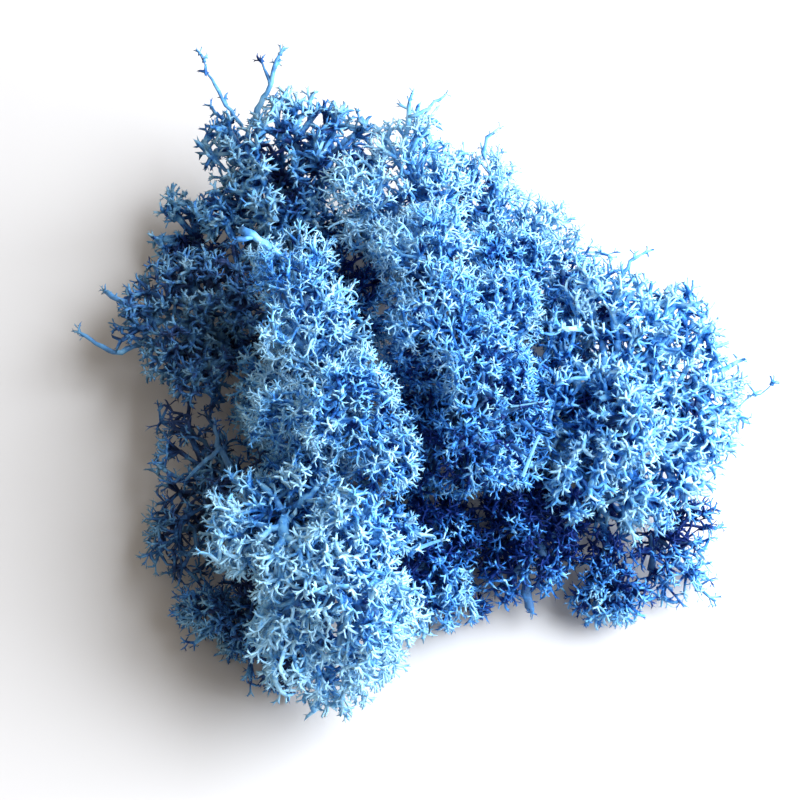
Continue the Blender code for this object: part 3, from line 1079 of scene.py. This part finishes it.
def sum_of(nodes, links, terms, start):
    """Nodes that add up several outputs, each times a number."""
    total = None
    for output, factor in terms:
        step = nodes.new("ShaderNodeMath")
        step.operation = "MULTIPLY_ADD"
        links.new(output, step.inputs[0])
        step.inputs[1].default_value = factor
        if total is None:
            step.inputs[2].default_value = start
        else:
            links.new(total, step.inputs[2])
        total = step.outputs[0]
    return total


def noise_output(nodes, links, where, scale):
    """A noise pattern, as wide as one over its scale in metres."""
    pattern = nodes.new("ShaderNodeTexNoise")
    pattern.inputs["Scale"].default_value = scale
    pattern.inputs["Detail"].default_value = 2
    links.new(where, pattern.inputs["Vector"])
    return pattern.outputs["Fac"]


def attribute_output(nodes, title):
    """One of the mesh's own attributes."""
    attribute = nodes.new("ShaderNodeAttribute")
    attribute.attribute_name = title
    return attribute.outputs["Fac"]


def ramp_output(nodes, links, value, stops):
    """The colour of a value, from stops that have a value and a colour each."""
    ramp = nodes.new("ShaderNodeValToRGB")
    elements = ramp.color_ramp.elements
    for element, (position, colour) in zip(elements, (stops[0], stops[-1])):
        element.position = position
        element.color = (*colour, 1)
    for position, colour in stops[1:-1]:
        elements.new(position).color = (*colour, 1)
    links.new(value, ramp.inputs["Fac"])
    return ramp.outputs["Color"]


def mixed_with(nodes, links, base, colour):
    """A mix of a colour output with a plain colour, whose factor is still to be set."""
    mix = nodes.new("ShaderNodeMix")
    mix.data_type = "RGBA"
    mix.inputs["B"].default_value = (*colour, 1)
    links.new(base, mix.inputs["A"])
    return mix


def moss_material(node):
    """Dyed moss: pale tips with a painted highlight, painted shade that deepens the colour inside and
    between plants and on the low plants and those at the left, blotches where the dye pooled, greyer old
    stems.
    """
    colours = bpy.context.scene.moss_clump.colours
    material, nodes, links, shader = new_material(node + "_dye")
    where = nodes.new("ShaderNodeTexCoord").outputs["Object"]
    patterns = (BLOTCHES, PATCHES, MOTTLE)
    terms = [(noise_output(nodes, links, where, scale), effect) for scale, effect in patterns]
    mottle = terms[-1][0]
    tip = attribute_output(nodes, "tip")
    depth = attribute_output(nodes, "depth")
    place = nodes.new("ShaderNodeSeparateXYZ")
    links.new(where, place.inputs["Vector"])
    slope = DYE_SLOPE.get(node, 0.0)
    # The tip term paints a highlight on the sprig ends; the depth term paints shade deep in the moss and
    # between plants
    terms += [(tip, TIP_EFFECT), (depth, DEPTH_SHADE_EFFECT), (place.outputs["Y"], slope)]
    level = sum_of(nodes, links, terms, DYE_AND_SHADE_LEVEL[node] + LEVEL_START)
    stops = (
        (0.0, colours.pale),
        (SKY_LEVEL, colours.sky),
        (AZURE_LEVEL, colours.azure),
        (1.0, colours.ultramarine),
    )
    dyed = ramp_output(nodes, links, level, stops)
    # Painted shade: a dark grey mixed into the plants at the left
    painted_shade = mixed_with(nodes, links, dyed, colours.painted_shade)
    painted_shade.inputs["Factor"].default_value = PAINTED_SHADE_SHARE.get(node, 0.0)
    old = nodes.new("ShaderNodeMapRange")
    old.inputs["From Min"].default_value = OLD_FROM
    old.inputs["From Max"].default_value = OLD_TO
    old.inputs["To Min"].default_value = 0.0
    old.inputs["To Max"].default_value = OLD_SHARE
    links.new(tip, old.inputs["Value"])
    stems = mixed_with(nodes, links, painted_shade.outputs["Result"], colours.old_stem)
    links.new(old.outputs["Result"], stems.inputs["Factor"])
    shader.inputs["Roughness"].default_value = MOSS_ROUGHNESS
    shader.inputs["Specular IOR Level"].default_value = MOSS_SHINE
    links.new(stems.outputs["Result"], shader.inputs["Base Color"])
    bump = nodes.new("ShaderNodeBump")
    bump.inputs["Strength"].default_value = BUMP_STRENGTH
    bump.inputs["Distance"].default_value = BUMP_DEPTH
    links.new(mottle, bump.inputs["Height"])
    links.new(bump.outputs["Normal"], shader.inputs["Normal"])
    return material


def grow_habit(habit):
    """Grow every plant of one habit."""
    stoutness = STOUTNESS[habit]
    variants = [sprig_arrays(seed, TWIG, stoutness) for seed in range(SPRIG_VARIANTS)]
    variants += [sprig_arrays(seed, HAND, stoutness) for seed in range(SPRIG_VARIANTS)]
    for node, (root, lean, scale) in HABITS[habit].items():
        grow_plant(node, habit, root, lean, scale, variants)


class MOSS_OT_crisp(bpy.types.Operator):
    """Grow the open plants at the front and the right"""

    bl_idname = "moss.crisp"
    bl_label = "Open cushions"

    def execute(self, context):
        grow_habit("crisp")
        return {"FINISHED"}


class MOSS_OT_dense(bpy.types.Operator):
    """Grow the dense high plants in the middle and behind"""

    bl_idname = "moss.dense"
    bl_label = "Dense cushions"

    def execute(self, context):
        grow_habit("dense")
        return {"FINISHED"}


class MOSS_OT_shaded(bpy.types.Operator):
    """Grow the low plants in the shade of the others"""

    bl_idname = "moss.shaded"
    bl_label = "Low cushions"

    def execute(self, context):
        grow_habit("shaded")
        return {"FINISHED"}


class MOSS_OT_lacy(bpy.types.Operator):
    """Grow the thin plants that show the surface through them"""

    bl_idname = "moss.lacy"
    bl_label = "Lacy plants"

    def execute(self, context):
        grow_habit("lacy")
        return {"FINISHED"}


class MOSS_OT_old(bpy.types.Operator):
    """Grow the old, stout-branched plants at the upper left"""

    bl_idname = "moss.old"
    bl_label = "Old plants"

    def execute(self, context):
        grow_habit("old")
        return {"FINISHED"}


def loose_material():
    """Pale dry straw that took little dye."""
    colours = bpy.context.scene.moss_clump.colours
    material, nodes, links, shader = new_material("pale_stem")
    where = nodes.new("ShaderNodeTexCoord").outputs["Object"]
    streaks = noise_output(nodes, links, where, STREAK_SCALE)
    stops = tuple(zip(STREAK_EDGES, (colours.sky, colours.old_stem)))
    shader.inputs["Roughness"].default_value = STRAW_ROUGHNESS
    links.new(ramp_output(nodes, links, streaks, stops), shader.inputs["Base Color"])
    return material


class MOSS_OT_loose(bpy.types.Operator):
    """Finish the thin straight bits that are caught in the moss"""

    bl_idname = "moss.loose"
    bl_label = "Loose bits"

    def execute(self, context):
        straw = loose_material()
        for node in ("loose_stalk", "loose_needle"):
            data = frame["nodes"][node].data
            data.materials.clear()
            data.materials.append(straw)
        return {"FINISHED"}


def add_floor(colours):
    """The plain pale surface that the clump lies on."""
    bm = bmesh.new()
    bmesh.ops.create_grid(bm, x_segments=1, y_segments=1, size=FLOOR_SIZE)
    mesh = bpy.data.meshes.new("floor")
    bm.to_mesh(mesh)
    bm.free()
    floor = new_object("floor", mesh)
    material, _, _, shader = new_material("floor")
    shader.inputs["Base Color"].default_value = (*colours.floor, 1)
    shader.inputs["Roughness"].default_value = FLOOR_ROUGHNESS
    mesh.materials.append(material)


def add_window():
    """A soft square light to the right of the clump, which looks at its middle."""
    light = bpy.data.lights.new("window", "AREA")
    light.shape = "SQUARE"
    light.size = WINDOW_SIZE
    light.energy = WINDOW_POWER
    light.color = WINDOW_COLOUR
    window = new_object("window", light)
    window.location = WINDOW_PLACE
    way = Vector(WINDOW_AIM) - Vector(WINDOW_PLACE)
    window.rotation_euler = way.to_track_quat("-Z", "Y").to_euler()


def add_camera(scene):
    """A camera that looks down on the clump from the front."""
    lens = bpy.data.cameras.new("camera")
    lens.lens = CAMERA_LENS
    lens.sensor_width = CAMERA_SENSOR
    lens.clip_start = CAMERA_CLIP
    camera = new_object("camera", lens)
    back = Vector((0, -math.cos(CAMERA_ELEVATION), math.sin(CAMERA_ELEVATION)))
    camera.location = in_frame(CAMERA_AIM) + back * CAMERA_REACH
    camera.rotation_euler = (math.radians(90) - CAMERA_ELEVATION, 0, 0)
    scene.camera = camera


class MOSS_OT_stage(bpy.types.Operator):
    """Set out the pale floor, the soft light and the camera"""

    bl_idname = "moss.stage"
    bl_label = "Stage"

    def execute(self, context):
        add_floor(context.scene.moss_clump.colours)
        add_window()
        world = bpy.data.worlds.new("room")
        world.use_nodes = True
        background = world.node_tree.nodes["Background"]
        background.inputs["Color"].default_value = (*ROOM_COLOUR, 1)
        background.inputs["Strength"].default_value = ROOM_STRENGTH
        context.scene.world = world
        context.scene.view_settings.view_transform = "Standard"
        add_camera(context.scene)
        return {"FINISHED"}


class MOSS_PT_panel(bpy.types.Panel):
    """Lists the steps and the sizes and colours"""

    bl_idname = "MOSS_PT_panel"
    bl_label = "Moss clump"
    bl_space_type = "VIEW_3D"
    bl_region_type = "UI"
    bl_category = "Moss"

    def draw(self, context):
        layout = self.layout
        for step in STEPS:
            layout.operator(step.bl_idname)
        settings = context.scene.moss_clump
        for group in (settings.sizes, settings.colours):
            box = layout.box()
            for name in group.__annotations__:
                box.prop(group, name)


STEPS = (
    MOSS_OT_crisp,
    MOSS_OT_dense,
    MOSS_OT_shaded,
    MOSS_OT_lacy,
    MOSS_OT_old,
    MOSS_OT_loose,
    MOSS_OT_stage,
)
CLASSES = (MossSizes, MossColours, MossSettings, *STEPS, MOSS_PT_panel)


def register():
    """Make the steps, the panel and the settings known to Blender."""
    for item in CLASSES:
        bpy.utils.register_class(item)
    bpy.types.Scene.moss_clump = PointerProperty(type=MossSettings)


def unregister():
    """Take the settings, the panel and the steps out again."""
    del bpy.types.Scene.moss_clump
    for item in reversed(CLASSES):
        bpy.utils.unregister_class(item)


def main():
    """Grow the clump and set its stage."""
    register()
    bpy.ops.moss.crisp()
    bpy.ops.moss.dense()
    bpy.ops.moss.shaded()
    bpy.ops.moss.lacy()
    bpy.ops.moss.old()
    bpy.ops.moss.loose()
    bpy.ops.moss.stage()


if __name__ == "__main__":
    main()
